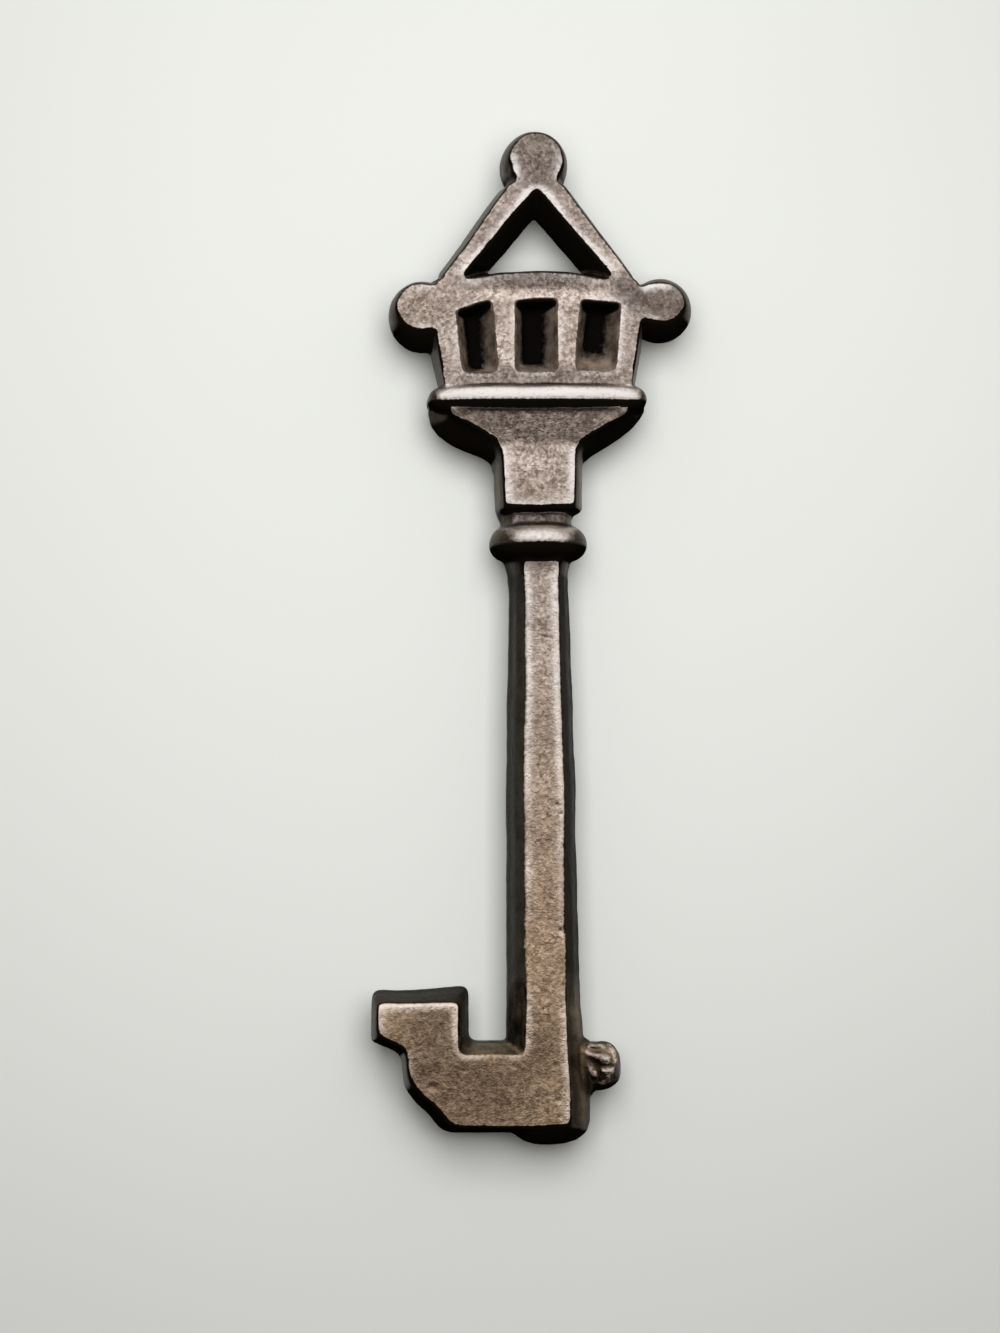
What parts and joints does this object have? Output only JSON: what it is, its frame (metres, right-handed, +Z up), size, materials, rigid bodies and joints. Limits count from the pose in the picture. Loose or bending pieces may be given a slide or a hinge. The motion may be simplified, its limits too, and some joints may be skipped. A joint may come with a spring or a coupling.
{
  "type": "skeleton key",
  "caption": "Short cast key with a lantern-shaped bow, three ball knobs, a bead collar, a tapered shank and a stepped bit.",
  "frame": {"origin": "under the middle of the key's bounding box, on the surface that it lies on", "axes": "+Y along the key towards the bow, +Z up through its thickness, +X away from the bit"},
  "size_m": [0.029, 0.0896, 0.0087],
  "materials": {
    "bronze_body": "cast, antiqued brown, grainy",
    "bronze_trim": "cast, antiqued brown, rubbed bright on the high places"
  },
  "bodies": {
    "root": {"shank": "bronze_body", "bit": "bronze_body", "collar": "bronze_trim", "neck_block": "bronze_body", "capital": "bronze_body", "moulding": "bronze_trim", "lantern_cage": "bronze_body", "rafter_left": "bronze_body", "rafter_right": "bronze_body", "apex_knob": "bronze_trim", "eave_knob_left": "bronze_trim", "eave_knob_right": "bronze_trim"}
  },
  "joints": []
}
